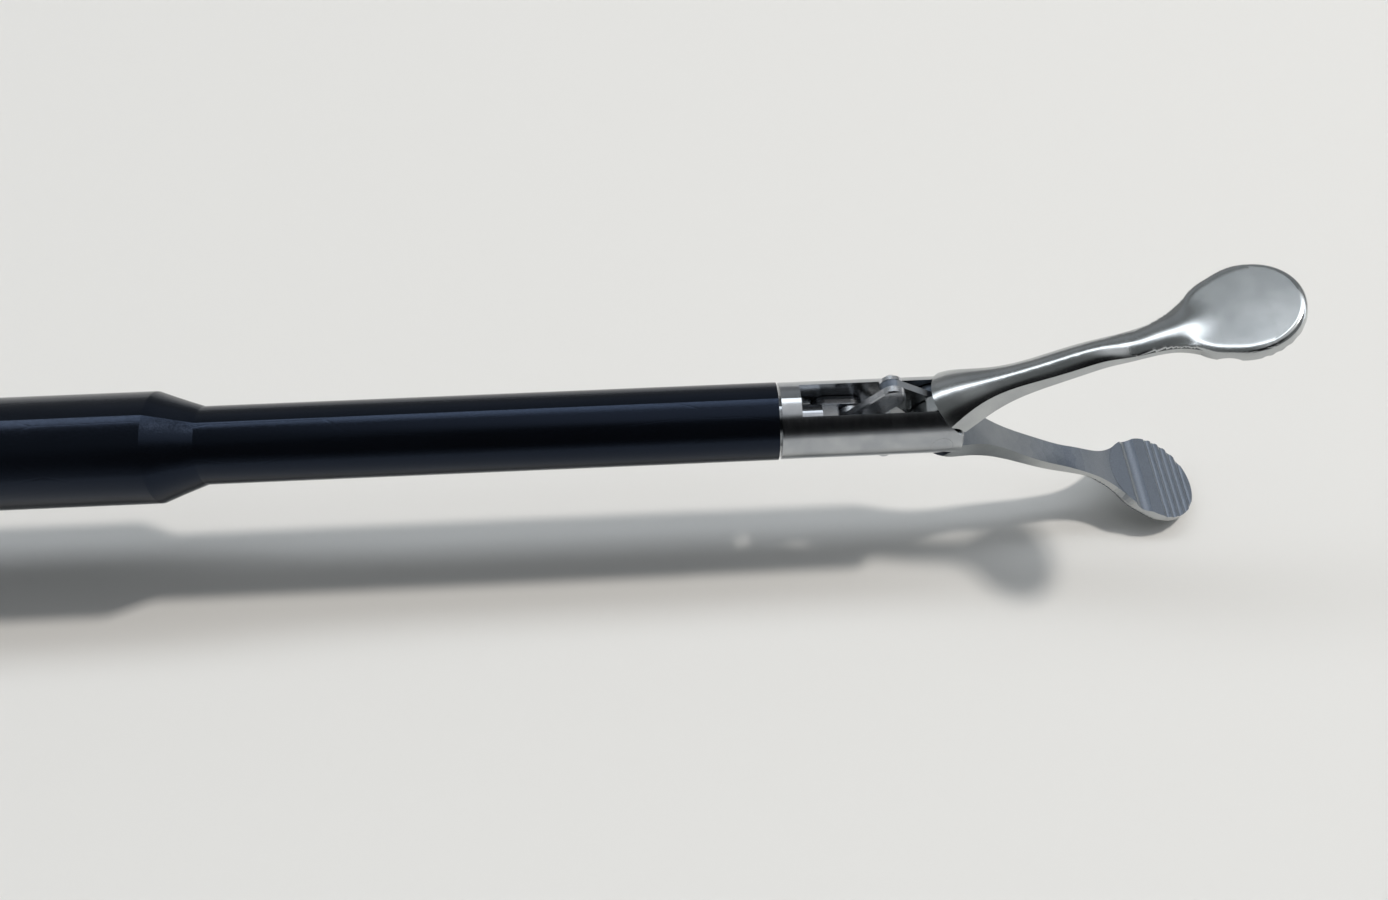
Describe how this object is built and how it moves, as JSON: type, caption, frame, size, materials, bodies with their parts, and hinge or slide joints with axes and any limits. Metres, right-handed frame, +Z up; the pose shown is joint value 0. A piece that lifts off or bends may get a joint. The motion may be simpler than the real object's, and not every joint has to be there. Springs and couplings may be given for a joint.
{
  "type": "laparoscopic grasper",
  "caption": "Slim grasping instrument: two hinged paddle jaws in a slotted steel yoke, black insulated shaft with a stepped tip, turning knob and ring handle.",
  "frame": {"origin": "on the shaft's axis just in front of the port collar, where the insulation starts", "axes": "+X along the shaft to the jaws, +Z up: the jaws open in the X-Z plane and the instrument lies on its side"},
  "size_m": [0.4837, 0.1094, 0.0322],
  "materials": {
    "insulation": "satin black heat-shrunk insulation",
    "stainless": "satin polished stainless steel",
    "blasted": "glass-bead blasted stainless steel",
    "polished": "polished stainless steel",
    "handle_black": "fine-grained black high-temperature plastic",
    "knob_grey": "satin dark grey plastic",
    "button_red": "satin dark red plastic",
    "silicone": "black silicone rubber",
    "peek": "beige PEEK",
    "gilt": "gold-plated brass"
  },
  "bodies": {
    "handle": {"fixed_handle": "handle_black", "lever_screw": "polished", "lever_nut": "polished", "contact_pin": "gilt", "release_pin": "polished"},
    "shaft": {"insulation_sleeve": "insulation", "shaft_tube": "stainless", "guide_bush": "peek", "yoke": "stainless", "pivot_pin": "stainless", "port_collar": "stainless", "flush_port": "polished", "shaft_hub": "stainless", "rod_seal": "silicone", "front_o_ring": "silicone", "rear_o_ring": "silicone", "rotation_knob": "knob_grey", "knob_screw": "polished"},
    "drive": {"drive_rod": "polished", "rod_clevis": "stainless", "rod_pin": "polished"},
    "upper_jaw_body": {"upper_jaw": "blasted", "upper_tail_pin": "polished"},
    "lower_jaw_body": {"lower_jaw": "blasted", "lower_tail_pin": "polished"},
    "upper_link_body": {"upper_link": "polished"},
    "lower_link_body": {"lower_link": "polished"},
    "lever": {"thumb_lever": "handle_black", "ratchet_bar": "stainless", "ratchet_screw_lower": "polished", "ratchet_screw_upper": "polished"},
    "release": {"release_lever": "stainless"},
    "button": {"lock_button": "button_red"}
  },
  "joints": [
    {"name": "lever_turn", "type": "hinge", "parent": "handle", "child": "lever", "pos_m": [-0.0793, -0.00888, -0.00108], "axis": [0, -0.1206, 0.9927], "range_deg": [0, 18]},
    {"name": "shaft_spin", "type": "hinge", "parent": "handle", "child": "shaft", "pos_m": [0, 0, 0], "axis": [1, 0, 0], "continuous": true},
    {"name": "rod_slide", "type": "slide", "parent": "shaft", "child": "drive", "axis": [-1, 0, 0], "range_m": [0, 0.0028]},
    {"name": "upper_jaw_turn", "type": "hinge", "parent": "shaft", "child": "upper_jaw_body", "pos_m": [0.33, 0, 0], "axis": [0, 1, 0], "range_deg": [0, 27]},
    {"name": "lower_jaw_turn", "type": "hinge", "parent": "shaft", "child": "lower_jaw_body", "pos_m": [0.33, 0, 0], "axis": [0, -1, 0], "range_deg": [0, 27]},
    {"name": "upper_link_turn", "type": "hinge", "parent": "upper_jaw_body", "child": "upper_link_body", "pos_m": [0.32557, 0, -0.00359], "axis": [0, -1, 0], "range_deg": [0, 60.2]},
    {"name": "lower_link_turn", "type": "hinge", "parent": "lower_jaw_body", "child": "lower_link_body", "pos_m": [0.32557, 0, 0.00359], "axis": [0, 1, 0], "range_deg": [0, 60.2]},
    {"name": "release_turn", "type": "hinge", "parent": "handle", "child": "release", "pos_m": [-0.0526, -0.02794, -0.00339], "axis": [0, -0.1206, 0.9927], "range_deg": [0, 8], "stiffness_Nm_per_rad": 0.05},
    {"name": "button_press", "type": "slide", "parent": "handle", "child": "button", "axis": [0, -0.9927, -0.1206], "range_m": [0, 0.0012], "stiffness_N_per_m": 1500}
  ],
  "couplings": [
    {"joint": "rod_slide", "follows": "lever_turn", "m_per_rad": 0.0089127},
    {"joint": "upper_jaw_turn", "follows": "lever_turn", "ratio": 1.5},
    {"joint": "lower_jaw_turn", "follows": "lever_turn", "ratio": 1.5},
    {"joint": "upper_link_turn", "follows": "lever_turn", "ratio": 3.3444},
    {"joint": "lower_link_turn", "follows": "lever_turn", "ratio": 3.3444}
  ]
}
